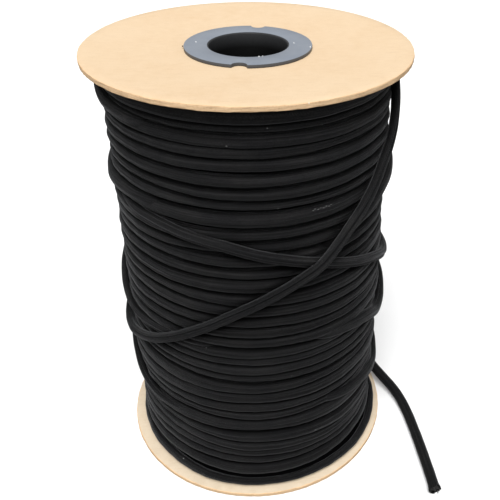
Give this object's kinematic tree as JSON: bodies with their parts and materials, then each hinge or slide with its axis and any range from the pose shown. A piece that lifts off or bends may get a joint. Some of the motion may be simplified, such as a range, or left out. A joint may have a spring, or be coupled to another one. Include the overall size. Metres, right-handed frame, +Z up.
{
  "type": "reel of shock cord",
  "caption": "Braided elastic cord wound on a flanged reel standing on end, with turns crossing the winding and a loose cut end on the floor.",
  "frame": {"origin": "on the floor, under the middle of the bore", "axes": "+Z up along the reel's bore, -Y the side seen in the picture, +X towards the loose end"},
  "size_m": [0.2335, 0.2083, 0.3024],
  "materials": {
    "pressboard": "matt pressed fibreboard, pale tan, with darker cut rims",
    "hub_plastic": "satin bluish grey moulded plastic",
    "kraft_board": "matt brown wound paperboard",
    "black_braid": "fine tight braid with a soft sheen"
  },
  "bodies": {
    "root": {"top_flange": "pressboard", "bottom_flange": "pressboard", "top_hub": "hub_plastic", "bottom_hub": "hub_plastic", "barrel": "kraft_board", "winding": "black_braid", "loose_end": "black_braid"}
  },
  "joints": []
}
